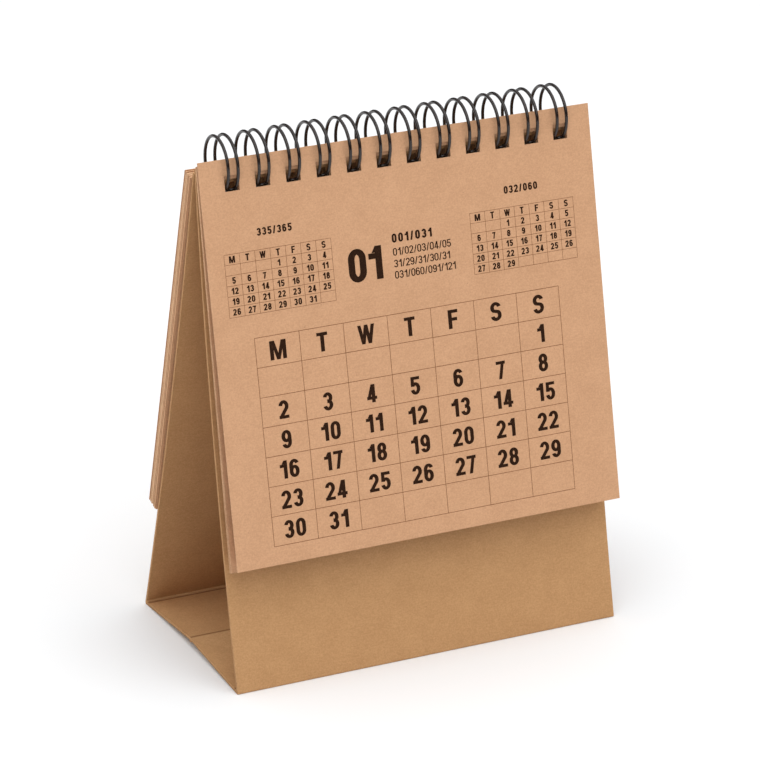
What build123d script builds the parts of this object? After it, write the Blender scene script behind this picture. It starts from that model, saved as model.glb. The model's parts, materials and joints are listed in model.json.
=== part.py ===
from build123d import *

import math
import os

# Desk calendar in kraft card, millimetres. X runs along the wire, the printed leaf faces -Y and
# +Z is up. The origin is on the desk, under the middle of the whole calendar.

# Twin-loop wire: one wire bent into a comb of hairpins and closed into rings
LOOPS = 12
PITCH = 25.4 / 3
WIRE_D = 1.0
RING_BORE = 13.8
ROOT_BEND_R = 1.0

# The wire repeats so often that it is kept to few faces: the sides of its section, and the steps
# in which it goes round the ring and through each small bend
WIRE_SIDES = 6
RING_STEPS = 22
BEND_STEPS = 3

# Place of the ring axis: height above the desk, and how far it stands ahead of the base's middle
RING_Z = 136.0
RING_AHEAD = 5.4

# Punching, the same in the leaves and in the stand
HOLE = 4.0
HOLE_PLAY = 0.15
TOP_MARGIN = 4.3
SIDE_MARGIN = 8.8
PUNCH_CLEARANCE = 0.3

# How the wire lies in its square holes: below their middle at the front and in the stand, and above
# it at the back, where the leaves hang on the wire
WIRE_BELOW_MIDDLE = 0.7
BACK_WIRE_ABOVE_MIDDLE = 0.8

# Leaves
LEAF_H = 106.0
LEAF_T = 0.3
RIM = 1.0
NEXT_LEAVES = 2
NEXT_GAP_TOP = 0.04
NEXT_GAP_BOTTOM = 0.5
BACK_LEAVES = 12
BACK_GAP_TOP = 0.04
BACK_GAP_BOTTOM = 0.09

# How many degrees further the leaves lean than the panel of the stand that they hang on
FRONT_LEAF_SPREAD = 2.55
NEXT_LEAVES_SPREAD = 0.55
BACK_LEAVES_SPREAD = -0.35

# Stand: one scored and folded strip of card
CARD_T = 0.8
LEAF_OVERHANG = 0.2
BASE_DEPTH = 62.0
CREASE_RISE = 2.4
FRONT_PANEL_BOW = 2.0
BACK_PANEL_BOW = 1.5
BEAD_D = 1.0
BEAD_INSET = 0.55

# Where the front leaf hangs on the ring, in degrees below its foremost point, and the free
# lengths of wire between one piece and the next
FRONT_LEAF_ANGLE = -31.0
NEXT_CLEARANCE = 0.95
TIP_PAST_LEAVES = 0.07
ROOT_CLEARANCE = 0.35
FRONT_PANEL_CLEARANCE = 0.25
PANEL_TOPS_CLEARANCE = 0.25
BACK_LEAVES_CLEARANCE = 0.55

# What follows from the sizes above
RING_R = (RING_BORE + WIRE_D) / 2
LEG_X = (HOLE - WIRE_D) / 2 - HOLE_PLAY
LEAF_W = (LOOPS - 1) * PITCH + 2 * SIDE_MARGIN
STAND_W = LEAF_W - 2 * LEAF_OVERHANG
HOLE_XS = [(i - (LOOPS - 1) / 2) * PITCH for i in range(LOOPS)]
FRONT_FOLD = Vector(-(BASE_DEPTH - CARD_T) / 2, CARD_T / 2)
BACK_FOLD = Vector((BASE_DEPTH - CARD_T) / 2, CARD_T / 2)
CREASE = Vector(0, CARD_T / 2 + CREASE_RISE)


def further(angle, distance):
    """Angle of the place on the ring that lies this far along it, from the front to the bottom."""
    return angle - math.degrees(distance / RING_R)


def pack_depth(count, gap):
    return count * LEAF_T + (count - 1) * gap


def top_reach(hole_rise):
    """How far the top edge of a sheet lies above the wire, from the rise of its holes' middle."""
    return TOP_MARGIN + HOLE / 2 + hole_rise


# Stations round the ring, from the front leaf down and to the back
next_half = pack_depth(NEXT_LEAVES, NEXT_GAP_TOP) / 2
back_half = pack_depth(BACK_LEAVES, BACK_GAP_TOP) / 2
panel_slopes = (BASE_DEPTH - 4 * (FRONT_PANEL_BOW + BACK_PANEL_BOW)) / RING_Z
panels_close_up = panel_slopes * top_reach(WIRE_BELOW_MIDDLE)
NEXT_LEAVES_ANGLE = further(FRONT_LEAF_ANGLE, LEAF_T / 2 + NEXT_CLEARANCE + next_half)
TIP_ANGLE = further(NEXT_LEAVES_ANGLE, next_half + TIP_PAST_LEAVES)
ROOT_ANGLE = further(NEXT_LEAVES_ANGLE, next_half + ROOT_CLEARANCE + WIRE_D / 2)
FRONT_PANEL_ANGLE = further(ROOT_ANGLE, WIRE_D / 2 + FRONT_PANEL_CLEARANCE + CARD_T / 2)
BACK_PANEL_ANGLE = further(FRONT_PANEL_ANGLE, CARD_T + panels_close_up + PANEL_TOPS_CLEARANCE)
BACK_LEAVES_ANGLE = further(BACK_PANEL_ANGLE, CARD_T / 2 + BACK_LEAVES_CLEARANCE + back_half)


def radial(angle):
    """Direction from the ring axis: 0 degrees is the front, 90 the top, -90 the bottom."""
    turn = math.radians(angle)
    return Vector(0, -math.cos(turn), math.sin(turn))


def on_ring(x, angle):
    """Point of the ring's centre line."""
    return Vector(x, -RING_AHEAD, RING_Z) + radial(angle) * RING_R


def crossing(angle):
    """The same point in the section across the calendar: its y and its height."""
    point = on_ring(0, angle)
    return Vector(point.Y, point.Z)


def panel_lean(fold, angle):
    """Degrees from upright of the line up from a bottom fold to the ring, positive where its top is
    further back."""
    run = crossing(angle) - fold
    return math.degrees(math.atan2(run.X, run.Y))


FRONT_LEAF_LEAN = panel_lean(FRONT_FOLD, FRONT_PANEL_ANGLE) + FRONT_LEAF_SPREAD
NEXT_LEAVES_LEAN = panel_lean(FRONT_FOLD, FRONT_PANEL_ANGLE) + NEXT_LEAVES_SPREAD
BACK_LEAVES_LEAN = panel_lean(BACK_FOLD, BACK_PANEL_ANGLE) - BACK_LEAVES_SPREAD


def sheet_plane(angle, lean):
    """Plane of a sheet that the ring crosses at the given angle. Its y runs up the sheet and its
    z to the front."""
    return Plane(on_ring(0, angle), x_dir=(1, 0, 0), z_dir=radial(lean))


def punches(depth, hole_rise):
    """The row of square punches, in a sheet's own plane."""
    tool = Box(HOLE, HOLE, depth + 2 * PUNCH_CLEARANCE)
    return [Pos(x, hole_rise, 0) * tool for x in HOLE_XS]


def leaf():
    """A leaf that hangs down from its plane's origin."""
    return Pos(0, -LEAF_H / 2, 0) * Box(LEAF_W, LEAF_H, LEAF_T)


def front_leaf():
    hung = Pos(0, top_reach(WIRE_BELOW_MIDDLE), 0) * leaf()
    punched = hung - punches(LEAF_T, WIRE_BELOW_MIDDLE)
    return sheet_plane(FRONT_LEAF_ANGLE, FRONT_LEAF_LEAN) * punched


def leaf_pack(count, gap_top, gap_bottom, hole_rise):
    """Leaves that lie together at the wire and fan towards their lower edge. They are one solid,
    in which only the rims of the leaves stand apart."""
    top = top_reach(hole_rise)
    fan = math.degrees(math.atan((gap_bottom - gap_top) / LEAF_H))
    places = [i - (count - 1) / 2 for i in range(count)]
    leaves = [Pos(0, top, n * (LEAF_T + gap_top)) * Rot(X=-n * fan) * leaf() for n in places]

    half_top = places[-1] * (LEAF_T + gap_top)
    half_bottom = places[-1] * (LEAF_T + gap_bottom)
    core_top = top - RIM
    core_bottom = top - LEAF_H + RIM
    section = Polygon(
        (core_top, half_top),
        (core_bottom, half_bottom),
        (core_bottom, -half_bottom),
        (core_top, -half_top),
        align=None,
    )
    core = extrude(Plane.YZ * section, amount=LEAF_W / 2 - RIM, both=True)
    return core + leaves - punches(pack_depth(count, gap_bottom), hole_rise)


def next_leaves():
    pack = leaf_pack(NEXT_LEAVES, NEXT_GAP_TOP, NEXT_GAP_BOTTOM, WIRE_BELOW_MIDDLE)
    return sheet_plane(NEXT_LEAVES_ANGLE, NEXT_LEAVES_LEAN) * pack


def back_leaves():
    pack = leaf_pack(BACK_LEAVES, BACK_GAP_TOP, BACK_GAP_BOTTOM, -BACK_WIRE_ABOVE_MIDDLE)
    return sheet_plane(BACK_LEAVES_ANGLE, BACK_LEAVES_LEAN) * pack


def disc(y, z, diameter):
    return Pos(y, z) * Circle(diameter / 2)


def straight_strip(start, end):
    """Card of the stand's thickness between two points of its centre line."""
    run = end - start
    card = Rectangle(run.length, CARD_T, align=(Align.MIN, Align.CENTER))
    return Pos(start.X, start.Y) * Rot(Z=math.degrees(math.atan2(run.Y, run.X))) * card


def bowed_strip(start, end, bow):
    """Card between two points, bowed sideways in the middle, and its direction at the end."""
    run = end - start
    side = Vector(run.Y, -run.X).normalized()
    middle = (start + end) / 2 + side * bow
    radius = (run.length**2 / 4 + bow**2) / (2 * bow)
    centre = middle - side * radius

    def face_points(distance):
        return [point + (point - centre).normalized() * distance for point in (start, middle, end)]

    outer = face_points(CARD_T / 2)
    inner = face_points(-CARD_T / 2)
    strip = make_face([
        ThreePointArc(*outer),
        Line(outer[2], inner[2]),
        ThreePointArc(*inner),
        Line(inner[0], outer[0]),
    ])
    out = (end - centre).normalized()
    along = Vector(-out.Y, out.X) * math.copysign(1, bow)
    return strip, along


def stand_panel(fold, angle, bow):
    """Panel from its bottom fold up to the ring, with a straight top end that the ring crosses.
    Returns its profile and the plane of its punched top."""
    at_ring = crossing(angle)
    strip, up = bowed_strip(fold, at_ring, bow)
    lean = math.degrees(math.atan2(up.X, up.Y))
    top_end = straight_strip(at_ring, at_ring + up * top_reach(WIRE_BELOW_MIDDLE))
    return [strip, top_end], sheet_plane(angle, lean)


def stand():
    """The folded strip: front panel, two base halves with a raised crease, back panel."""
    front, front_plane = stand_panel(FRONT_FOLD, FRONT_PANEL_ANGLE, FRONT_PANEL_BOW)
    back, back_plane = stand_panel(BACK_FOLD, BACK_PANEL_ANGLE, -BACK_PANEL_BOW)
    base = [straight_strip(FRONT_FOLD, CREASE), straight_strip(CREASE, BACK_FOLD)]
    folds = [disc(point.X, point.Y, CARD_T) for point in (FRONT_FOLD, CREASE, BACK_FOLD)]
    # The bead that scoring raises lies on the inner side of each fold
    beads = [
        disc(FRONT_FOLD.X + BEAD_INSET, FRONT_FOLD.Y + BEAD_INSET, BEAD_D),
        disc(BACK_FOLD.X - BEAD_INSET, BACK_FOLD.Y + BEAD_INSET, BEAD_D),
        disc(CREASE.X, CREASE.Y - BEAD_INSET, BEAD_D),
    ]
    profile = Sketch() + front + base + back + folds + beads
    card = extrude(Plane.YZ * profile, amount=STAND_W / 2, both=True)
    for panel in (front_plane, back_plane):
        card -= [panel * punch for punch in punches(CARD_T, WIRE_BELOW_MIDDLE)]
    return card


def half_hairpin():
    """Half a pitch of the wire, left of its middle: half a root bar, the bend into the leg, the
    leg round the ring and half of the narrow tip."""
    leg_from = further(ROOT_ANGLE, ROOT_BEND_R)
    leg_to = TIP_ANGLE + math.degrees(LEG_X / RING_R) - 360
    bar_x = LEG_X + ROOT_BEND_R
    bend_axis = Axis(on_ring(-bar_x, leg_from), radial(leg_from))
    tip_axis = Axis(on_ring(0, leg_to), radial(leg_to))
    bend_turns = [90 * i / BEND_STEPS for i in range(1, BEND_STEPS + 1)]
    leg_angles = [leg_from + (leg_to - leg_from) * i / RING_STEPS for i in range(RING_STEPS + 1)]

    def section(angle):
        across = Plane(on_ring(-LEG_X, angle), x_dir=(1, 0, 0), z_dir=radial(angle + 90))
        return across * RegularPolygon(WIRE_D / 2, WIRE_SIDES)

    leg = [section(angle) for angle in leg_angles]
    tip = [leg[-1].rotate(tip_axis, turn) for turn in bend_turns]
    bend = [leg[0].rotate(bend_axis, turn) for turn in reversed(bend_turns)]
    bar_end = Pos(bar_x - PITCH / 2, 0, 0) * bend[0]
    return loft([bar_end] + bend + leg + tip, ruled=True)


def wire_binding():
    """The whole comb: the hairpins meet end to end at the middle of their root bars."""
    half = half_hairpin()
    hairpin = half + mirror(half, about=Plane.YZ)
    return Part() + [Pos(x, 0, 0) * hairpin for x in HOLE_XS]


def build():
    parts = {
        "stand": stand(),
        "wire_binding": wire_binding(),
        "front_leaf": front_leaf(),
        "next_leaves": next_leaves(),
        "back_leaves": back_leaves(),
    }
    # The front leaf's lower edge reaches furthest forward, the stand's back fold furthest back
    leaf_plane = sheet_plane(FRONT_LEAF_ANGLE, FRONT_LEAF_LEAN)
    lower_end = top_reach(WIRE_BELOW_MIDDLE) - LEAF_H
    lower_edge = leaf_plane.from_local_coords((0, lower_end, LEAF_T / 2))
    foremost = min(lower_edge.Y, -BASE_DEPTH / 2)
    rearmost = BASE_DEPTH / 2
    to_middle = Pos(0, -(foremost + rearmost) / 2, 0)
    return {name: to_middle * part for name, part in parts.items()}


os.makedirs("parts", exist_ok=True)
for name, part in build().items():
    export_step(part, f"parts/{name}.step")
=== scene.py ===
# %% [markdown]
# # A kraft desk calendar
# The calendar is a tent of folded kraft board with month leaves hung on a twin-loop wire. The solids
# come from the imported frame. This lesson gives them their looks: round wire, separate leaves with
# cut edges, paper with fibres in it, and ink.

# %% Load the frame
import json
import math

import bmesh
import bpy
from mathutils import Matrix, Vector


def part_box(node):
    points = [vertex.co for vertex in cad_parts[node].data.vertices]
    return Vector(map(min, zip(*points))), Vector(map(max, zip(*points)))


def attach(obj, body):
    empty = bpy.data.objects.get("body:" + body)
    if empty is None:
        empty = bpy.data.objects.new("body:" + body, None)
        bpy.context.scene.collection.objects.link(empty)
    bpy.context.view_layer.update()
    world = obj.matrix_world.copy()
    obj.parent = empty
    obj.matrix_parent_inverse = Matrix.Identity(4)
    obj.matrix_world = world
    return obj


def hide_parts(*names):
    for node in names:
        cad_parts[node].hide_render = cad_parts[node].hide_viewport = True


MM = 0.001

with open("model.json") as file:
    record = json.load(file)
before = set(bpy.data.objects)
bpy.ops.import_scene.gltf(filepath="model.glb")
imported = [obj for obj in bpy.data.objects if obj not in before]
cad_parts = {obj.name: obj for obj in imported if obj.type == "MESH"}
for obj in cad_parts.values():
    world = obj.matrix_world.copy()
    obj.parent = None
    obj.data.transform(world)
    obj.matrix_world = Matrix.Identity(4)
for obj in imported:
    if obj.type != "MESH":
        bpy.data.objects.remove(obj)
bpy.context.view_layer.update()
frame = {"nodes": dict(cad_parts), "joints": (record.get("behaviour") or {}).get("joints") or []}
nodes = frame["nodes"]
print("nodes:", sorted(nodes))

# %% [markdown]
# ## A way to write node trees
# Node trees are easier to read as expressions than as long lists of links. One class wraps a socket,
# so that sums and products of sockets add Math nodes by themselves. Every other node comes from one
# method, which takes the node's type, its settings and what goes into its sockets. The same class
# serves materials and geometry, because both kinds of tree know the Math node. Some nodes have a set
# of sockets for each kind of data, with the same names, so those sockets go by their number.

# %% Sockets as values
MIX_FIRST_COLOR = 6
MIX_SECOND_COLOR = 7
MIX_COLOR = 2
RANDOM_LOW = 2
RANDOM_HIGH = 3
RANDOM_NUMBER = 1


class Sock:
    """An output socket that can be used in Python expressions."""

    def __init__(self, tree, socket=None):
        self.tree = tree
        self.socket = socket

    def node(self, kind, settings=None, sockets=None, output=0):
        """Adds a node, sets it up, feeds its sockets and returns one of its outputs. A list of
        sockets feeds one socket that takes many."""
        added = self.tree.nodes.new(kind)
        for name, value in (settings or {}).items():
            setattr(added, name, value)
        for name, value in (sockets or {}).items():
            feeds = value if isinstance(value, list) else [value]
            for feed in feeds:
                if isinstance(feed, Sock):
                    self.tree.links.new(feed.socket, added.inputs[name])
                else:
                    added.inputs[name].default_value = feed
        return Sock(self.tree, added.outputs[output] if added.outputs else None)

    def maths(self, operation, first, second):
        """Math node on two numbers or sockets."""
        return self.node("ShaderNodeMath", {"operation": operation}, {0: first, 1: second})

    def __add__(self, other):
        return self.maths("ADD", self, other)

    def __radd__(self, other):
        return self.maths("ADD", other, self)

    def __sub__(self, other):
        return self.maths("SUBTRACT", self, other)

    def __rsub__(self, other):
        return self.maths("SUBTRACT", other, self)

    def __mul__(self, other):
        return self.maths("MULTIPLY", self, other)

    def __rmul__(self, other):
        return self.maths("MULTIPLY", other, self)

    def __abs__(self):
        return self.node("ShaderNodeMath", {"operation": "ABSOLUTE"}, {0: self})

    def ramp(self, low, high, out_low=0.0, out_high=1.0):
        """Soft step: out_low below low, out_high above high."""
        return self.node(
            "ShaderNodeMapRange",
            {"interpolation_type": "SMOOTHSTEP"},
            {"Value": self, "From Min": low, "From Max": high, "To Min": out_low, "To Max": out_high},
        )

    def blend(self, first, second):
        """Colour that goes from first to second as this value goes from 0 to 1."""
        return self.node(
            "ShaderNodeMix",
            {"data_type": "RGBA"},
            {"Factor": self, MIX_FIRST_COLOR: first, MIX_SECOND_COLOR: second},
            output=MIX_COLOR,
        )


def linear(red, green, blue):
    """Colour for a shader from the 0 to 255 values that a screen shows, by the sRGB curve."""

    def one(value):
        share = value / 255
        return share / 12.92 if share <= 0.04045 else ((share + 0.055) / 1.055) ** 2.4

    return (one(red), one(green), one(blue), 1.0)


# %% [markdown]
# ## Sizes that the looks need
# Everything is in metres and in the same frame as the solids, so lengths are written in millimetres
# and multiplied once. Places are read from the solids: the plane of a sheet is the plane of its
# outermost broad face, the axis of the rings is the axis that the leaves turn about, and the crease
# is the highest line in the middle of the stand's base.

# %% Measure the sheets
RIGHT = Vector((1, 0, 0))
# Points nearer than WELD are one point, and points within FLAT of a plane lie in it
WELD = 0.001 * MM
FLAT = 0.01 * MM
# A face looks along a direction if its normal has more than this share of it
FACING = 0.5
# The crease is looked for within this distance of the middle of the base
CREASE_SEARCH = 10 * MM


def merged_copy(node):
    """Mesh of a node with its loose triangles joined."""
    mesh = bmesh.new()
    mesh.from_mesh(nodes[node].data)
    bmesh.ops.remove_doubles(mesh, verts=mesh.verts, dist=WELD)
    return mesh


def sheet_place(node, side):
    """Axes of a sheet and the middle of its lower edge: x to the right, y up the sheet and z out of
    the face that looks to the front (side -1) or to the back (side 1)."""
    mesh = merged_copy(node)
    facing = [face for face in mesh.faces if face.normal.y * side > FACING]
    largest = max(face.calc_area() for face in facing)
    broad = [face for face in facing if face.calc_area() > largest / 2]
    outer = max(broad, key=lambda face: face.calc_center_median().dot(face.normal))
    normal = outer.normal.copy()
    depth = outer.verts[0].co.dot(normal)
    up = normal.cross(RIGHT) if side < 0 else RIGHT.cross(normal)
    lowest = min(v.co.dot(up) for v in mesh.verts if abs(v.co.dot(normal) - depth) < FLAT)
    mesh.free()
    across = RIGHT if side < 0 else -RIGHT
    return Matrix((across, up, normal)).transposed().to_4x4(), normal * depth + up * lowest


def crease_place():
    """A point on the crease in the middle of the base."""
    mesh = merged_copy("stand")
    low = [v.co.copy() for v in mesh.verts if v.co.z < CREASE_SEARCH]
    mesh.free()
    return max([place for place in low if abs(place.y) < CREASE_SEARCH], key=lambda place: place.z)


leaf_turn, leaf_foot = sheet_place("front_leaf", -1)
leaf_low, leaf_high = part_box("front_leaf")
LEAF_W = leaf_high.x - leaf_low.x
leaf_place = Matrix.Translation(leaf_foot) @ leaf_turn
ring_axis = Vector(frame["joints"][0]["pos_m"])
crease = crease_place()
stand_low, stand_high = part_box("stand")
base_middle = (stand_low.y + stand_high.y) / 2
base_half = (stand_high.y - stand_low.y) / 2
print("leaf width, mm:", round(LEAF_W / MM, 2))
print("lean of the leaf, degrees:", round(90 - math.degrees(leaf_turn.to_euler().x), 2))
print("ring axis, mm:", [round(value / MM, 3) for value in ring_axis])
print("crease, mm:", [round(value / MM, 3) for value in crease])

# %% [markdown]
# ## Kraft paper
# Kraft paper is unbleached pulp. Close up it shows fibres that lie in every direction, paler and
# darker, a few tiny dark specks of bark, and a slow cloudiness where the pulp settled unevenly. Each
# of these is one texture in the object's own coordinates. Fibres are a noise stretched one way, taken
# three times in three directions. The same pulp, in other tones, gives the board of the stand and the
# cut edges, so one function makes them all. The cut edges of a pack are streaky, partly because no two
# leaves are quite the same and partly as painted light and shade: their tone reads a number that each
# leaf carries. The board has painted shade, dark lines along the crease in the middle of the base and
# inside its two folds.

# %% Helpers for finishes
RELIEF_DEPTH = 0.03 * MM


def new_finish(name):
    """Empty material and its tree."""
    material = bpy.data.materials.new(name)
    material.use_nodes = True
    material.node_tree.nodes.clear()
    return material, Sock(material.node_tree)


def shine(graph, color, roughness, relief, strength, specular):
    """Ends a material: colour, roughness, a bump from relief, and how much it reflects."""
    bump = graph.node(
        "ShaderNodeBump", None, {"Strength": strength, "Distance": RELIEF_DEPTH, "Height": relief}
    )
    surface = graph.node(
        "ShaderNodeBsdfPrincipled",
        None,
        {"Base Color": color, "Roughness": roughness, "Normal": bump, "Specular IOR Level": specular},
    )
    graph.node("ShaderNodeOutputMaterial", None, {"Surface": surface})


def own_place(graph):
    """Place on the piece, in the object's own coordinates."""
    return graph.node("ShaderNodeTexCoord", output="Object")


def noise(graph, where, size, detail, roughness=0.55):
    """Noise with features of about the given size, in metres."""
    return graph.node(
        "ShaderNodeTexNoise",
        {"noise_dimensions": "3D"},
        {"Vector": where, "Scale": 1 / size, "Detail": detail, "Roughness": roughness},
    )


# %% Kraft pulp
CLOUD_SIZE = 7 * MM
CLOUD_SHARE = 0.2
GRAIN_SIZE = 0.45 * MM
GRAIN_SHARE = 0.5
FIBRE_TURNS = (0.35, 1.45, 2.5)
FIBRE_LENGTH = 1.6 * MM
FIBRE_WIDTH = 0.3 * MM
FIBRE_SHARE = 0.3
# Values of the mixed pulp that give its deep and its pale tone
DEEP_PULP = 0.32
PALE_PULP = 0.68
# Specks are the middles of cells, with sizes as shares of a cell
SPECK_SPACING = 3.4 * MM
SPECK_CORE = 0.02
SPECK_RIM = 0.06
SPECK_STRENGTH = 0.4
LEAF_TONE = "leaf_tone"


def fibres(graph, where, turn):
    """Thin strokes in one direction across the sheet."""
    stretch = (1 / FIBRE_LENGTH, 1 / FIBRE_LENGTH, 1 / FIBRE_WIDTH)
    laid = graph.node(
        "ShaderNodeMapping", None, {"Vector": where, "Rotation": (0.0, turn, 0.0), "Scale": stretch}
    )
    return graph.node(
        "ShaderNodeTexNoise",
        {"noise_dimensions": "3D"},
        {"Vector": laid, "Scale": 1.0, "Detail": 2.0, "Roughness": 0.4, "Distortion": 0.25},
    )


def kraft(name, pale, deep, fleck, uneven=0.0, shade_mark=None):
    """Kraft pulp between two tones, with a few darker flecks. The leaves of a pack can be uneven, partly
    as painted light and shade, and a shade mark says where painted shade makes the pulp as dark as a
    fleck."""
    material, graph = new_finish(name)
    where = own_place(graph)
    clouds = noise(graph, where, CLOUD_SIZE, detail=2.0)
    grain = noise(graph, where, GRAIN_SIZE, detail=2.0, roughness=0.6)
    first, second, third = [fibres(graph, where, turn) for turn in FIBRE_TURNS]
    strokes = (first + second + third) * (1 / len(FIBRE_TURNS))
    pulp = clouds * CLOUD_SHARE + grain * GRAIN_SHARE + strokes * FIBRE_SHARE
    # Partly painted light and shade: each leaf's own tone makes its cut edge paler or darker.
    if uneven:
        leaf_tone = graph.node("ShaderNodeAttribute", {"attribute_name": LEAF_TONE}, output="Fac")
        pulp = pulp + leaf_tone * uneven
    tone = pulp.ramp(DEEP_PULP, PALE_PULP)
    cells = graph.node("ShaderNodeTexVoronoi", None, {"Vector": where, "Scale": 1 / SPECK_SPACING})
    specks = cells.ramp(SPECK_CORE, SPECK_RIM, SPECK_STRENGTH, 0.0)
    color = specks.blend(tone.blend(deep, pale), fleck)
    # Painted shade: the shade mark darkens the pulp to the fleck tone along the board's creases.
    if shade_mark:
        color = shade_mark(graph, where).blend(color, fleck)
    roughness = tone.ramp(0.0, 1.0, out_low=0.84, out_high=0.93)
    shine(graph, color, roughness, relief=grain + strokes, strength=0.3, specular=0.2)
    return material


# %% Painted shade along the creases of the board
# A painted shade line is darkest in its core, fades out to its rim on either side, and fades out upward
SHADE_CORE = 0.1 * MM
SHADE_RIM = 0.6 * MM
SHADE_DEPTH = 0.75
SHADE_FADE = 2 * MM
# The painted shade lines inside the folds lie this far in from the outside of the base and reach this
# high
FOLD_INSET = 2.0 * MM
FOLD_TOP = 1.2 * MM


def score(off, height, top):
    """Painted shade: a dark line where the distance off is about nothing, up to a height."""
    low = height.ramp(top, top + SHADE_FADE, 1.0, 0.0)
    return abs(off).ramp(SHADE_CORE, SHADE_RIM, SHADE_DEPTH, 0.0) * low


def fold_scores(graph, where):
    """Painted shade: dark lines along the crease of the base and inside its two folds."""
    place = graph.node("ShaderNodeSeparateXYZ", None, {"Vector": where}, output="Y")
    height = graph.node("ShaderNodeSeparateXYZ", None, {"Vector": where}, output="Z")
    from_middle = abs(place - base_middle)
    crease_shade = score(place - crease.y, height, crease.z + SHADE_FADE)
    inner_shade = score(from_middle - (base_half - FOLD_INSET), height, FOLD_TOP)
    return graph.maths("MAXIMUM", crease_shade, inner_shade)


# %% Paper finishes
leaf_paper = kraft("leaf_paper", linear(212, 165, 128), linear(194, 148, 112), linear(134, 92, 60))
leaf_edge = kraft(
    "leaf_cut_edge", linear(232, 190, 150), linear(176, 130, 94), linear(140, 96, 60), uneven=0.22
)
# The board's crease and folds carry painted shade.
board = kraft(
    "stand_board", linear(199, 154, 109), linear(180, 136, 92), linear(118, 78, 46), shade_mark=fold_scores
)
board_edge = kraft("stand_cut_edge", linear(196, 152, 108), linear(168, 124, 82), linear(128, 86, 50))
print("finishes:", [material.name for material in (leaf_paper, leaf_edge, board, board_edge)])

# %% [markdown]
# ## Coated wire and ink
# The binding wire is steel with a black nylon skin: dark, a little warm, and rather glossy. A fine
# noise in its roughness breaks the highlight up, as the skin of the coating does. Black ink soaks
# into raw kraft paper, so it is a deep warm brown rather than black, it stays matt, and a little of
# the pulp shows through it.

# %% Wire and ink finishes
SKIN_SIZE = 0.5 * MM
WEAR_SIZE = 4 * MM
SOAK_SIZE = 0.45 * MM


def nylon_skin(name, dark, worn):
    """Glossy coating of the wire, a little paler where it is worn."""
    material, graph = new_finish(name)
    where = own_place(graph)
    skin = noise(graph, where, SKIN_SIZE, detail=3.0)
    wear = noise(graph, where, WEAR_SIZE, detail=2.0)
    color = wear.ramp(0.35, 0.7).blend(dark, worn)
    roughness = skin.ramp(0.3, 0.7, out_low=0.13, out_high=0.22)
    shine(graph, color, roughness, relief=skin, strength=0.05, specular=0.5)
    return material


def ink(name, full, thin):
    """Matt ink, a little paler where less of it has soaked in."""
    material, graph = new_finish(name)
    soak = noise(graph, own_place(graph), SOAK_SIZE, detail=3.0)
    color = soak.ramp(0.45, 0.8).blend(full, thin)
    roughness = soak.ramp(0.2, 0.8, out_low=0.75, out_high=0.9)
    shine(graph, color, roughness, relief=soak, strength=0.2, specular=0.08)
    return material


wire_finish = nylon_skin("black_nylon_coating", linear(27, 17, 14), linear(38, 27, 23))
figure_ink = ink("figure_ink", linear(42, 24, 13), linear(64, 40, 25))
rule_ink = ink("rule_ink", linear(112, 68, 36), linear(138, 90, 56))
print("finishes:", wire_finish.name, figure_ink.name, rule_ink.name)

# %% [markdown]
# ## Pieces from the solids
# The stand and the front leaf have the right shape already. Each becomes a piece by copying its mesh,
# joining the loose triangles, and giving the faces that were cut by a knife the finish of a cut edge.
# Smooth shading runs round the folds and stops at the cut edges.

# %% Stand and front leaf
SMOOTH_ANGLE = math.radians(32)


def finished(mesh, name, body, replaces=()):
    """Object for a finished mesh, riding on its body."""
    piece = bpy.data.objects.new(name, mesh)
    bpy.context.scene.collection.objects.link(piece)
    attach(piece, body)
    if replaces:
        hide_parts(*replaces)
    print(name, "faces:", len(mesh.polygons))


def dressed_copy(node, name, faces_finish, edge_finish, is_edge):
    """Copy of a node's mesh in two finishes."""
    mesh = merged_copy(node)
    for face in mesh.faces:
        face.smooth = True
        face.material_index = int(is_edge(face))
    data = bpy.data.meshes.new(name)
    mesh.to_mesh(data)
    mesh.free()
    data.materials.append(faces_finish)
    data.materials.append(edge_finish)
    data.set_sharp_from_angle(angle=SMOOTH_ANGLE)
    return data


def stand_cut(face):
    """The faces at the sides of the folded strip and of its holes."""
    return abs(face.normal.x) > FACING


def leaf_cut(face):
    """All of a leaf except its two faces."""
    return abs(face.normal.dot(leaf_turn.col[2].to_3d())) < FACING


stand_mesh = dressed_copy("stand", "folded_stand", board, board_edge, stand_cut)
finished(stand_mesh, "folded_stand", "stand", ["stand"])
leaf_mesh = dressed_copy("front_leaf", "month_leaf", leaf_paper, leaf_edge, leaf_cut)
finished(leaf_mesh, "month_leaf", "front_leaf", ["front_leaf"])

# %% [markdown]
# ## Geometry Nodes, turned into plain meshes
# What repeats is made by small node trees: the loops of the wire, the leaves of a pack and the ruled
# lines of the print. A tree works on a start mesh, its sizes are named inputs, and it ends by making
# the instances real and giving them their material. The result is then copied into a plain mesh.

# %% Helpers for geometry trees
FLOAT = "NodeSocketFloat"
WHOLE = "NodeSocketInt"
FINISH = "NodeSocketMaterial"


def new_recipe(name, inputs):
    """Geometry tree with named inputs. Returns it with its inputs as sockets."""
    tree = bpy.data.node_groups.new(name, "GeometryNodeTree")
    tree.interface.new_socket("Geometry", in_out="INPUT", socket_type="NodeSocketGeometry")
    for label, kind in inputs.items():
        tree.interface.new_socket(label, in_out="INPUT", socket_type=kind)
    tree.interface.new_socket("Geometry", in_out="OUTPUT", socket_type="NodeSocketGeometry")
    entry = tree.nodes.new("NodeGroupInput")
    given = {socket.name: Sock(tree, socket) for socket in entry.outputs if socket.name}
    return Sock(tree), given


def along(graph, x=0.0, y=0.0, z=0.0):
    """Vector socket from three numbers or sockets."""
    return graph.node("ShaderNodeCombineXYZ", None, {"X": x, "Y": y, "Z": z})


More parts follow.
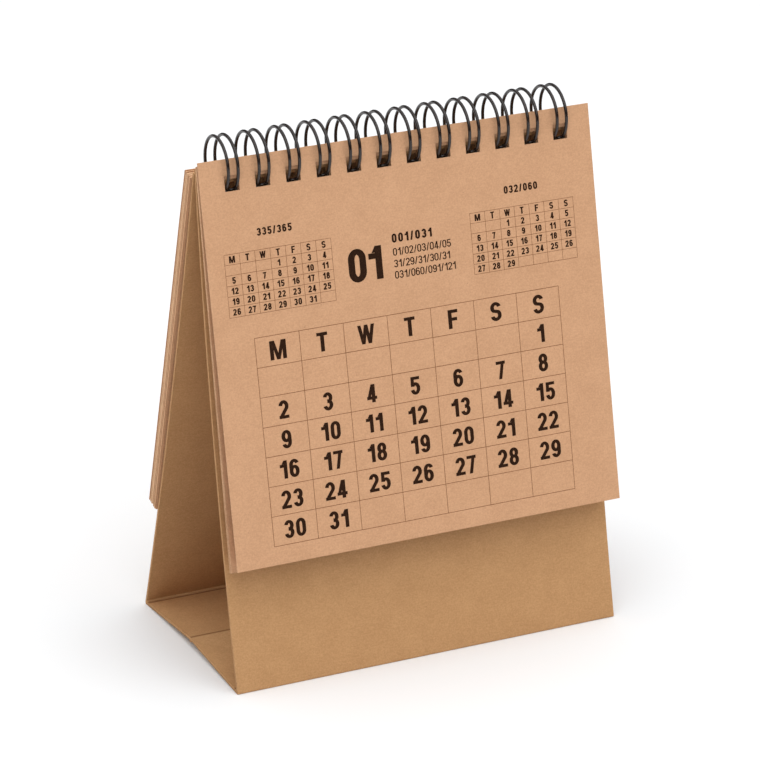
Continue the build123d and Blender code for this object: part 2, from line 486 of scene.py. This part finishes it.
def serve(graph, instances, finish):
    """Ends a tree: the instances become real, in one material."""
    solid = graph.node("GeometryNodeRealizeInstances", None, {"Geometry": instances})
    painted = graph.node("GeometryNodeSetMaterial", None, {"Geometry": solid, "Material": finish})
    graph.node("NodeGroupOutput", None, {"Geometry": painted})


def cook(graph, start, values):
    """Runs a tree on a start mesh and returns the plain mesh that it makes. The start mesh has no
    material, which leaves an empty slot before those that the tree sets, so that slot is taken out."""
    holder = bpy.data.objects.new("cooking", start)
    bpy.context.scene.collection.objects.link(holder)
    modifier = holder.modifiers.new("recipe", "NODES")
    modifier.node_group = graph.tree
    for item in graph.tree.interface.items_tree:
        if item.in_out == "INPUT" and item.name in values:
            modifier[item.identifier] = values[item.name]
    depsgraph = bpy.context.evaluated_depsgraph_get()
    made = bpy.data.meshes.new_from_object(holder.evaluated_get(depsgraph), depsgraph=depsgraph)
    bpy.data.objects.remove(holder)
    if made.materials[0] is None:
        made.materials.pop(index=0)
    return made


# %% [markdown]
# ## The twin-loop wire
# The binding is one long wire. It runs along a short root bar, bends into a leg, goes round the
# ring, turns in a narrow tip inside the square hole, comes back round the ring beside itself and bends
# into the next root bar. One hairpin is a path of arcs. The tree sweeps a round section along it and
# repeats it at the pitch of the punching. The solid's wire has six flat sides, and the round one lies
# just inside them.

# %% One hairpin as a path
LOOPS = 12
PITCH = 25.4 / 3 * MM
SOLID_WIRE_D = 1.0 * MM
SOLID_WIRE_SIDES = 6
WIRE_D = SOLID_WIRE_D * math.cos(math.pi / SOLID_WIRE_SIDES)
RING_R = 7.4 * MM
LEG_X = 1.35 * MM
ROOT_BEND_R = 1.0 * MM
ROOT_ANGLE = math.radians(-51.05)
TIP_ANGLE = math.radians(-45.01)
LEG_STEPS = 64
BEND_STEPS = 8
WIRE_SIDES = 14


def on_ring(x, angle):
    """Point round the rings: 0 is the front, a quarter turn on is the top."""
    return ring_axis + Vector((x, -RING_R * math.cos(angle), RING_R * math.sin(angle)))


def half_hairpin():
    """Path from the middle of a root bar to the middle of the tip, on the left side."""
    leg_from = ROOT_ANGLE - ROOT_BEND_R / RING_R
    leg_to = TIP_ANGLE + LEG_X / RING_R - math.tau
    quarter = [math.pi / 2 * step / BEND_STEPS for step in range(BEND_STEPS + 1)]
    bar_x = -LEG_X - ROOT_BEND_R
    path = [on_ring(-PITCH / 2, ROOT_ANGLE)]
    for turn in quarter[:-1]:
        ahead = ROOT_BEND_R * (1 - math.cos(turn)) / RING_R
        path.append(on_ring(bar_x + ROOT_BEND_R * math.sin(turn), ROOT_ANGLE - ahead))
    for step in range(LEG_STEPS):
        path.append(on_ring(-LEG_X, leg_from + (leg_to - leg_from) * step / LEG_STEPS))
    for turn in quarter:
        path.append(on_ring(-LEG_X * math.cos(turn), leg_to - LEG_X * math.sin(turn) / RING_R))
    return path


left_half = half_hairpin()
right_half = [Vector((-point.x, point.y, point.z)) for point in reversed(left_half[:-1])]
hairpin = left_half + right_half
hairpin_path = bpy.data.meshes.new("hairpin_path")
hairpin_path.from_pydata(hairpin, [(i, i + 1) for i in range(len(hairpin) - 1)], [])
print("points on one hairpin:", len(hairpin))


# %% Sweep and repeat the hairpin
def comb_recipe():
    """Tree that sweeps a round wire along a hairpin and repeats it in a row."""
    graph, given = new_recipe(
        "twin_loop_comb",
        {"Loops": WHOLE, "Pitch": FLOAT, "Wire Radius": FLOAT, "Sides": WHOLE, "Finish": FINISH},
    )
    path = graph.node("GeometryNodeMeshToCurve", None, {"Mesh": given["Geometry"]})
    section = graph.node(
        "GeometryNodeCurvePrimitiveCircle",
        None,
        {"Resolution": given["Sides"], "Radius": given["Wire Radius"]},
    )
    swept = graph.node(
        "GeometryNodeCurveToMesh", None, {"Curve": path, "Profile Curve": section, "Fill Caps": True}
    )
    smooth = graph.node("GeometryNodeSetShadeSmooth", None, {"Geometry": swept, "Shade Smooth": True})
    row = graph.node(
        "GeometryNodeMeshLine",
        None,
        {
            "Count": given["Loops"],
            "Start Location": along(graph, x=(1 - given["Loops"]) * given["Pitch"] * 0.5),
            "Offset": along(graph, x=given["Pitch"]),
        },
    )
    loops = graph.node("GeometryNodeInstanceOnPoints", None, {"Points": row, "Instance": smooth})
    serve(graph, loops, given["Finish"])
    return graph


comb = cook(
    comb_recipe(),
    hairpin_path,
    {
        "Loops": LOOPS,
        "Pitch": PITCH,
        "Wire Radius": WIRE_D / 2,
        "Sides": WIRE_SIDES,
        "Finish": wire_finish,
    },
)
finished(comb, "twin_loop_wire", "stand", ["wire_binding"])

# %% [markdown]
# ## Packs of leaves
# A pack is the same punched leaf again and again, fanned a little towards its lower edge. Leaves that
# have been turned over never line up quite, so each one is shifted by a hair, and each one gets a tone
# of its own for its cut edge. That tone is partly real difference between leaves and partly painted
# light and shade, pale for lit edges and dark for shaded ones. The leaf is drawn once, as a sheet with
# a row of square holes, and the tree lays it out.

# %% One punched leaf
LEAF_H = 106.0 * MM
LEAF_T = 0.3 * MM
HOLE = 4.0 * MM
TOP_MARGIN = 4.3 * MM
# The leaf is drawn as rows of fields, and every second field of this row is a hole
HOLE_ROW = 1
CUT_EDGE = "cut_edge"


def punched_leaf():
    """Leaf that hangs from the middle of its top edge: x to the right, y up, z to the front. Each field
    has a front and a back, and a wall on every side that has no field beside it."""
    xs = [-LEAF_W / 2]
    for loop in range(LOOPS):
        hole_x = (loop - (LOOPS - 1) / 2) * PITCH
        xs += [hole_x - HOLE / 2, hole_x + HOLE / 2]
    xs.append(LEAF_W / 2)
    ys = [-LEAF_H, -TOP_MARGIN - HOLE, -TOP_MARGIN, 0.0]
    points = [(x, y, z) for z in (LEAF_T / 2, -LEAF_T / 2) for y in ys for x in xs]
    back = len(xs) * len(ys)
    places = [(row, column) for row in range(len(ys) - 1) for column in range(len(xs) - 1)]
    fields = [(row, column) for row, column in places if row != HOLE_ROW or column % 2 == 0]
    faces = []
    for row, column in fields:
        foot = row * len(xs) + column
        corners = [foot, foot + 1, foot + 1 + len(xs), foot + len(xs)]
        beside = [(row - 1, column), (row, column + 1), (row + 1, column), (row, column - 1)]
        faces.append(corners)
        faces.append([corner + back for corner in reversed(corners)])
        for start, end, neighbour in zip(corners, corners[1:] + corners[:1], beside):
            if neighbour not in fields:
                faces.append([end, start, start + back, end + back])
    data = bpy.data.meshes.new("punched_leaf")
    data.from_pydata(points, [], faces)
    marks = data.attributes.new(CUT_EDGE, "BOOLEAN", "FACE")
    for face in data.polygons:
        marks.data[face.index].value = abs(face.normal.z) < FACING
    return data


leaf = punched_leaf()
print("faces of one leaf:", len(leaf.polygons))


# %% Lay out a pack
def pack_recipe():
    """Tree that lays leaves one behind the other, fans and shifts them, and gives each an edge tone that
    is partly painted light and shade.
    """
    graph, given = new_recipe(
        "leaf_pack",
        {
            "Leaves": WHOLE,
            "Step": FLOAT,
            "Fan": FLOAT,
            "Shift": FLOAT,
            "Uneven": FLOAT,
            "Seed": WHOLE,
            "Paper": FINISH,
            "Edge": FINISH,
        },
    )

    def by_chance(seed, limit):
        """A random number up to a limit either way, another one for each leaf."""
        limits = {RANDOM_LOW: 0 - limit, RANDOM_HIGH: limit, "Seed": seed}
        return graph.node(
            "FunctionNodeRandomValue", {"data_type": "FLOAT"}, limits, output=RANDOM_NUMBER
        )

    middle = (given["Leaves"] - 1) * 0.5
    row = graph.node(
        "GeometryNodeMeshLine",
        None,
        {
            "Count": given["Leaves"],
            "Start Location": along(graph, z=(0 - middle) * given["Step"]),
            "Offset": along(graph, z=given["Step"]),
        },
    )
    shift = given["Shift"]
    hair = along(graph, x=by_chance(given["Seed"], shift), y=by_chance(given["Seed"] + 1, shift))
    shifted = graph.node("GeometryNodeSetPosition", None, {"Geometry": row, "Offset": hair})
    fan = (middle - graph.node("GeometryNodeInputIndex")) * given["Fan"]
    is_edge = graph.node("GeometryNodeInputNamedAttribute", {"data_type": "BOOLEAN"}, {"Name": CUT_EDGE})
    leaves = graph.node(
        "GeometryNodeInstanceOnPoints",
        None,
        {"Points": shifted, "Instance": given["Geometry"], "Rotation": along(graph, x=fan)},
    )
    # Partly painted light and shade: each leaf's cut edge gets a random tone of its own.
    toned = graph.node(
        "GeometryNodeStoreNamedAttribute",
        {"data_type": "FLOAT", "domain": "INSTANCE"},
        {"Geometry": leaves, "Name": LEAF_TONE, "Value": by_chance(given["Seed"] + 2, given["Uneven"])},
    )
    solid = graph.node("GeometryNodeRealizeInstances", None, {"Geometry": toned})
    papered = graph.node("GeometryNodeSetMaterial", None, {"Geometry": solid, "Material": given["Paper"]})
    edged = graph.node(
        "GeometryNodeSetMaterial",
        None,
        {"Geometry": papered, "Selection": is_edge, "Material": given["Edge"]},
    )
    graph.node("NodeGroupOutput", None, {"Geometry": edged})
    return graph


# %% The two packs
EDGE_SHIFT = 0.22 * MM
leaf_pack = pack_recipe()


def pack(node, name, body, count, gap_top, gap_bottom, uneven, seed):
    """Leaves in the place of a pack's solid."""
    front, front_foot = sheet_place(node, -1)
    back, back_foot = sheet_place(node, 1)
    up = (front.col[1].to_3d() + back.col[1].to_3d()).normalized()
    front_top = front_foot + front.col[1].to_3d() * LEAF_H
    back_top = back_foot + back.col[1].to_3d() * LEAF_H
    place = Matrix((RIGHT, up, RIGHT.cross(up))).transposed().to_4x4()
    mesh = cook(
        leaf_pack,
        leaf.copy(),
        {
            "Leaves": count,
            "Step": LEAF_T + gap_top,
            "Fan": (gap_bottom - gap_top) / LEAF_H,
            "Shift": EDGE_SHIFT,
            "Uneven": uneven,
            "Seed": seed,
            "Paper": leaf_paper,
            "Edge": leaf_edge,
        },
    )
    mesh.transform(Matrix.Translation((front_top + back_top) / 2) @ place)
    finished(mesh, name, body, [node])


# The seeds set where pale and dark cut edges fall in bands: partly painted light and shade.
pack(
    "next_leaves",
    "coming_leaves",
    "stand",
    count=2,
    gap_top=0.04 * MM,
    gap_bottom=0.5 * MM,
    uneven=0.2,
    seed=1,
)
pack(
    "back_leaves",
    "turned_leaves",
    "back_leaves",
    count=12,
    gap_top=0.04 * MM,
    gap_bottom=0.09 * MM,
    uneven=1.0,
    seed=22,
)

# %% [markdown]
# ## Ruled lines of the print
# The days stand in a ruled grid, and two small grids show the months before and after. One tree rules
# any of them from the number of columns and rows, the cell and the width of a line.


# %% Ruled grids
def grid_recipe():
    """Tree that rules a grid upward and to the right of the origin."""
    graph, given = new_recipe(
        "ruled_grid",
        {
            "Columns": WHOLE,
            "Rows": WHOLE,
            "Cell Width": FLOAT,
            "Cell Height": FLOAT,
            "Line": FLOAT,
            "Finish": FINISH,
        },
    )

    def ruling(count, step, size, middle):
        """A row of thin strips."""
        points = graph.node("GeometryNodeMeshLine", None, {"Count": count + 1, "Offset": step})
        strip = graph.node(
            "GeometryNodeMeshGrid",
            None,
            {"Size X": size[0], "Size Y": size[1], "Vertices X": 2, "Vertices Y": 2},
        )
        placed = graph.node("GeometryNodeTransform", None, {"Geometry": strip, "Translation": middle})
        return graph.node("GeometryNodeInstanceOnPoints", None, {"Points": points, "Instance": placed})

    line = given["Line"]
    wide = given["Columns"] * given["Cell Width"]
    tall = given["Rows"] * given["Cell Height"]
    next_column = along(graph, x=given["Cell Width"])
    next_row = along(graph, y=given["Cell Height"])
    upright = ruling(given["Columns"], next_column, (line, tall + line), along(graph, y=tall * 0.5))
    level = ruling(given["Rows"], next_row, (wide + line, line), along(graph, x=wide * 0.5))
    both = graph.node("GeometryNodeJoinGeometry", None, {"Geometry": [upright, level]})
    serve(graph, both, given["Finish"])
    return graph


ruled_grid = grid_recipe()
print("nodes of the grid's tree:", len(ruled_grid.tree.nodes))

# %% [markdown]
# ## Figures
# The figures are a plain, bold, narrow type, drawn with a broad pen. Each sign is a few strokes in a
# box that is one unit wide and one high: straight bars, slanted bars that are cut level, and bows of
# elliptic arcs. A path is the middle of its stroke, so the box is first drawn in by half a stroke.
# Upright strokes are a little wider than level ones. That comes from one stretch: the pen works in a
# box that is stretched upward, with one width for every stroke, and the result is pressed back.

# %% Kinds of stroke
ARC_STEP = 12


def arc(u, v, wide, tall, start, end):
    """Points of an elliptic arc about (u, v), with angles in degrees."""
    steps = round(abs(end - start) / ARC_STEP)
    turns = [math.radians(start + (end - start) * step / steps) for step in range(steps + 1)]
    return [(u + wide * math.cos(turn), v + tall * math.sin(turn)) for turn in turns]


def bar(*points):
    """Straight stroke that runs out to the edge of the box."""
    return "bar", points


def bow(points):
    """Curved stroke that ends where its path ends."""
    return "bow", points


def slant(top, bottom):
    """Slanted bar, cut level at both ends."""
    return "slant", (top, bottom)


# %% Signs as strokes
round_top = arc(0.5, 0.72, 0.5, 0.28, 0, 180)
round_foot = arc(0.5, 0.28, 0.5, 0.28, 180, 360)
upper_three = arc(0.5, 0.745, 0.47, 0.255, 168, -90) + [(0.38, 0.49)]
lower_three = [(0.38, 0.53)] + arc(0.5, 0.265, 0.5, 0.265, 90, -168)
belly_five = arc(0.5, 0.31, 0.5, 0.31, 150, -166)
six = [arc(0.5, 0.3, 0.5, 0.3, 0, 360), [(0, 0.3)] + arc(0.5, 0.72, 0.5, 0.28, 180, 20)]
nine = [[(1 - u, 1 - v) for u, v in path] for path in six]
stem = bar((0, 0), (0, 1))
right_stem = bar((1, 0), (1, 1))
head = bar((0, 1), (1, 1))

# Width of each sign as a share of its height, and its strokes
SIGNS = {
    "0": (0.58, [bow([(1, 0.5)] + round_top + round_foot + [(1, 0.5)])]),
    "1": (0.46, [right_stem, slant((1, 1), (0.5, 0.8)), bar((0.1, 0.75), (1, 0.75))]),
    "2": (0.58, [bow(arc(0.5, 0.71, 0.5, 0.29, 172, -28) + [(0.05, 0.03)]), bar((0, 0), (1, 0))]),
    "3": (0.58, [bow(upper_three), bow(lower_three)]),
    "4": (0.6, [bar((0.74, 0), (0.74, 1)), slant((0.66, 1), (0.02, 0.24)), bar((0, 0.2), (1, 0.2))]),
    "5": (0.58, [bar((0.1, 1), (0.95, 1)), slant((0.1, 1), (0.04, 0.46)), bow(belly_five)]),
    "6": (0.58, [bow(path) for path in six]),
    "7": (0.56, [head, slant((0.9, 1), (0.34, 0))]),
    "8": (0.58, [bow(arc(0.5, 0.755, 0.45, 0.245, 0, 360)), bow(arc(0.5, 0.265, 0.5, 0.265, 0, 360))]),
    "9": (0.58, [bow(path) for path in nine]),
    "/": (0.42, [slant((1, 1), (0, 0))]),
    "M": (0.92, [stem, right_stem, slant((0.1, 1), (0.5, 0)), slant((0.9, 1), (0.5, 0))]),
    "T": (0.61, [head, bar((0.5, 0), (0.5, 1))]),
    "W": (0.98, [slant((u, 1), (v, 0)) for u, v in ((0, 0.26), (0.5, 0.26), (0.5, 0.74), (1, 0.74))]),
    "F": (0.56, [stem, head, bar((0, 0.5), (0.86, 0.5))]),
    "S": (0.64, [bow(arc(0.5, 0.745, 0.48, 0.255, 14, 232) + arc(0.5, 0.265, 0.5, 0.265, 52, -166))]),
}
print("signs:", "".join(SIGNS))

# %% The pen
BEAM_SHARE = 0.8
SLANT_SHARE = 0.9
# The strokes of a sign lie one over the other, so that they don't flicker where they cross
STROKE_LIFT = 0.002 * MM
# A path is closed if its ends meet within this share of half a stroke
CLOSED = 0.01


def pen_sides(path, half, square):
    """Points on both sides of a path, with mitred corners. Square ends run half a stroke further."""
    path = [Vector(point) for point in path]
    runs = [(after - before).normalized() for before, after in zip(path, path[1:])]
    closed = (path[0] - path[-1]).length < half * CLOSED
    if square:
        path[0] = path[0] - runs[0] * half
        path[-1] = path[-1] + runs[-1] * half
    before = [runs[-1] if closed else runs[0]] + runs
    after = runs + [runs[0] if closed else runs[-1]]
    sides = []
    for point, way_in, way_out in zip(path, before, after):
        middle = (way_in + way_out) / 2
        reach = Vector((-middle.y, middle.x)) * half / middle.length_squared
        sides.append((point + reach, point - reach))
    return sides


def draw_sign(mesh, sign, x, y, height, weight):
    """Draws a sign with its lower left corner at (x, y) and returns its width."""
    share, strokes = SIGNS[sign]
    width = share * height
    stem_w = weight * height
    beam_h = stem_w * BEAM_SHARE

    def in_box(u, v):
        return stem_w / 2 + u * (width - stem_w), (beam_h / 2 + v * (height - beam_h)) / BEAM_SHARE

    for order, (kind, points) in enumerate(strokes):
        if kind == "slant":
            (top_u, top_v), (foot_u, foot_v) = points
            half = Vector((stem_w / 2 * SLANT_SHARE, 0))
            top = Vector((in_box(top_u, 0)[0], top_v * height / BEAM_SHARE))
            foot = Vector((in_box(foot_u, 0)[0], foot_v * height / BEAM_SHARE))
            sides = [(top - half, top + half), (foot - half, foot + half)]
        else:
            sides = pen_sides([in_box(u, v) for u, v in points], stem_w / 2, kind == "bar")
        lift = order * STROKE_LIFT
        rows = [[mesh.verts.new((x + p.x, y + p.y * BEAM_SHARE, lift)) for p in pair] for pair in sides]
        for (a, b), (c, d) in zip(rows, rows[1:]):
            mesh.faces.new((a, b, d, c))
    return width


def word_width(word, height, gap):
    """Width of a row of signs, with a gap between them that is a share of their height."""
    return sum(SIGNS[sign][0] * height for sign in word) + gap * height * (len(word) - 1)


# %% [markdown]
# ## The print on the leaf
# All places are measured on the leaf in millimetres, from its lower left corner. Lines and figures are
# two sheets of print, because they have two inks. A figure stands at the middle of its cell.

# %% Sheets of print
INK_LIFT = 0.02 * MM
# Gap between two signs as a share of their height
SIGN_GAP = 0.12


class Sheet:
    """Collects print of one ink for the month leaf."""

    def __init__(self, name, finish):
        self.name = name
        self.finish = finish
        self.mesh = bmesh.new()

    def write(self, word, x, y, height, weight, gap=SIGN_GAP):
        """Signs from x to the right, standing on y."""
        for sign in word:
            x += draw_sign(self.mesh, sign, x * MM, y * MM, height * MM, weight) / MM + gap * height

    def centre(self, word, x, y, height, weight, gap=SIGN_GAP):
        """Signs with their middle at (x, y)."""
        self.write(word, x - word_width(word, height, gap) / 2, y - height / 2, height, weight, gap)

    def rule(self, x, y, columns, rows, cell_w, cell_h, line):
        """Ruled grid with its lower left corner at (x, y)."""
        values = {
            "Columns": columns,
            "Rows": rows,
            "Cell Width": cell_w * MM,
            "Cell Height": cell_h * MM,
            "Line": line * MM,
            "Finish": self.finish,
        }
        grid = cook(ruled_grid, bpy.data.meshes.new("blank"), values)
        grid.transform(Matrix.Translation((x * MM, y * MM, 0)))
        self.mesh.from_mesh(grid)

    def print_on_leaf(self):
        """Lays the print on the leaf, facing out of it."""
        bmesh.ops.recalc_face_normals(self.mesh, faces=self.mesh.faces)
        turned = [face for face in self.mesh.faces if face.normal.z < 0]
        bmesh.ops.reverse_faces(self.mesh, faces=turned)
        data = bpy.data.meshes.new(self.name)
        self.mesh.to_mesh(data)
        self.mesh.free()
        data.materials.append(self.finish)
        data.transform(leaf_place @ Matrix.Translation((-LEAF_W / 2, 0, INK_LIFT)))
        finished(data, self.name, "front_leaf")


# %% [markdown]
# ## The month, and its neighbours
# A month is a grid of weeks under a row of weekday initials. The function needs only the column of
# the first day and the number of days. The lines beside the large figure are plain numbers too: the
# days of the year that the month takes up, then the first months, how many days they have, and on
# which day of the year they end. The labels of the small months are days of the year as well.

# %% Rule and number the months
WEEKDAYS = "MTWTFSS"
# Height of an initial as a share of a figure's
INITIAL = 1.05
# Widths of strokes as shares of a sign's height
BOLD = 0.215
SMALL_BOLD = 0.235
LIGHT = 0.155
# Widths of ruled lines
LINE = 0.12
SMALL_LINE = 0.09

rules = Sheet("ruled_lines", rule_ink)
figures = Sheet("printed_figures", figure_ink)


def month(left, bottom, rows, cell_w, cell_h, height, weight, first_column, days, line):
    """A ruled month with its initials and figures."""
    columns = len(WEEKDAYS)
    rules.rule(left, bottom, columns, rows, cell_w, cell_h, line)
    top = bottom + rows * cell_h

    def put(word, column, row, size):
        figures.centre(word, left + (column + 0.5) * cell_w, top - (row + 0.5) * cell_h, size, weight)

    for column, initial in enumerate(WEEKDAYS):
        put(initial, column, 0, height * INITIAL)
    for day in range(1, days + 1):
        place = first_column + day - 1
        put(str(day), place % columns, 1 + place // columns, height)


month(
    left=10.8,
    bottom=4.9,
    rows=7,
    cell_w=12.42,
    cell_h=7.79,
    height=4.75,
    weight=BOLD,
    first_column=6,
    days=31,
    line=LINE,
)
month(
    left=4.7,
    bottom=65.6,
    rows=6,
    cell_w=4.24,
    cell_h=2.7,
    height=1.7,
    weight=SMALL_BOLD,
    first_column=3,
    days=31,
    line=SMALL_LINE,
)
month(
    left=74.0,
    bottom=66.1,
    rows=6,
    cell_w=4.3,
    cell_h=2.68,
    height=1.7,
    weight=SMALL_BOLD,
    first_column=2,
    days=29,
    line=SMALL_LINE,
)
print("faces of the months' figures:", len(figures.mesh.faces))

# %% Large figure, lines and labels
LINES_LEFT = 51.4
LINE_H = 2.0
LINE_GAP = 0.07
LABEL_H = 2.0
LABEL_GAP = 0.16

figures.write("01", x=38.6, y=69.2, height=8.7, weight=BOLD, gap=0.06)
figures.write("001/031", x=LINES_LEFT, y=77.9, height=2.35, weight=SMALL_BOLD, gap=0.2)
for word, y in (("01/02/03/04/05", 74.5), ("31/29/31/30/31", 71.45), ("031/060/091/121", 68.5)):
    figures.write(word, LINES_LEFT, y, LINE_H, LIGHT, LINE_GAP)
for word, x, y in (("335/365", 19.1, 86.35), ("032/060", 89.2, 86.8)):
    figures.centre(word, x, y, LABEL_H, SMALL_BOLD, LABEL_GAP)
rules.print_on_leaf()
figures.print_on_leaf()

# %% [markdown]
# ## Studio
# A pale floor that reaches far behind the calendar gives the white ground of a product picture. The
# sky is brightest overhead and dark at the sides, as in a light tent that is open all round. One very
# large soft lamp stands above the front, so that the wire throws no hard shadows on the leaf. A weak,
# low lamp at the left picks out the cut edges of the leaves. The inside of the stand is lit mostly by
# the floor, so it gets darker towards the base.

# %% Floor
FLOOR_HALF = 6.0
FLOOR_CLOUD = 0.4


def matt_floor(name, deep, pale):
    """Even, matt ground with hardly any cloud in it."""
    material, graph = new_finish(name)
    cloud = noise(graph, own_place(graph), FLOOR_CLOUD, detail=2.0)
    roughness = cloud.ramp(0.0, 1.0, out_low=0.85, out_high=0.95)
    shine(graph, cloud.blend(deep, pale), roughness, relief=cloud, strength=0.0, specular=0.2)
    return material


floor_corners = [(x * FLOOR_HALF, y * FLOOR_HALF, 0) for x, y in ((-1, -1), (1, -1), (1, 1), (-1, 1))]
floor_mesh = bpy.data.meshes.new("floor")
floor_mesh.from_pydata(floor_corners, [], [(0, 1, 2, 3)])
floor_mesh.materials.append(matt_floor("pale_floor", (0.92, 0.93, 0.94, 1), (0.94, 0.95, 0.96, 1)))
floor = bpy.data.objects.new("floor", floor_mesh)
bpy.context.scene.collection.objects.link(floor)
print("side of the floor, m:", 2 * FLOOR_HALF)

# %% Light and sky
LAMP_AIM = Vector((0, 0, 0.07))
# Strength of the sky up to a little above the horizon, and straight overhead
SKY_START = 0.1
SIDES = 0.0
OVERHEAD = 1.72


def soft_light(name, place, size, power):
    """Round lamp that looks at the middle of the calendar."""
    lamp = bpy.data.lights.new(name, "AREA")
    lamp.shape = "DISK"
    lamp.size = size
    lamp.energy = power
    holder = bpy.data.objects.new(name, lamp)
    holder.location = place
    holder.rotation_mode = "QUATERNION"
    holder.rotation_quaternion = (LAMP_AIM - Vector(place)).to_track_quat("-Z", "Y")
    bpy.context.scene.collection.objects.link(holder)


def tent_sky(name):
    """Sky that gets brighter from the sides to straight overhead."""
    sky = bpy.data.worlds.new(name)
    sky.use_nodes = True
    sky.node_tree.nodes.clear()
    graph = Sock(sky.node_tree)
    direction = graph.node("ShaderNodeTexCoord", output="Generated")
    upward = graph.node("ShaderNodeSeparateXYZ", None, {"Vector": direction}, output="Z")
    strength = upward.ramp(SKY_START, 1.0, SIDES, OVERHEAD)
    glow = graph.node("ShaderNodeBackground", None, {"Strength": strength})
    graph.node("ShaderNodeOutputWorld", None, {"Surface": glow})
    return sky


soft_light("key", place=(0.0, -1.2, 1.7), size=3.0, power=22.8)
soft_light("edge_light", place=(-1.6, 0.5, 0.2), size=1.0, power=3.6)
bpy.context.scene.world = tent_sky("studio")
bpy.context.scene.view_settings.view_transform = "Standard"
print("lamps:", [lamp.name for lamp in bpy.data.lights], "sky:", bpy.context.scene.world.name)

# %% [markdown]
# ## Camera
# The picture was taken from the left of the front and from above, with a long lens. The numbers below
# put the camera there. The lens is given in pixels of the picture, which is how a camera is fitted to
# one, and is turned into millimetres by the width of the sensor.

# %% Camera
AZIMUTH = math.radians(-25.495)
ELEVATION = math.radians(22.142)
DISTANCE = 1.15176
TARGET = Vector((0, 0, 0.06723))
FOCAL_PIXELS = 4367.8
IMAGE = 760
SENSOR = 36.0

lens = bpy.data.cameras.new("camera")
lens.sensor_width = SENSOR
lens.lens = SENSOR * FOCAL_PIXELS / IMAGE
lens.dof.use_dof = False
outward = math.cos(ELEVATION)
away = Vector((math.sin(AZIMUTH) * outward, -math.cos(AZIMUTH) * outward, math.sin(ELEVATION)))
camera = bpy.data.objects.new("camera", lens)
camera.location = TARGET + away * DISTANCE
camera.rotation_mode = "QUATERNION"
camera.rotation_quaternion = (-away).to_track_quat("-Z", "Y")
bpy.context.scene.collection.objects.link(camera)
bpy.context.scene.camera = camera
print("camera at", [round(value, 3) for value in camera.location])
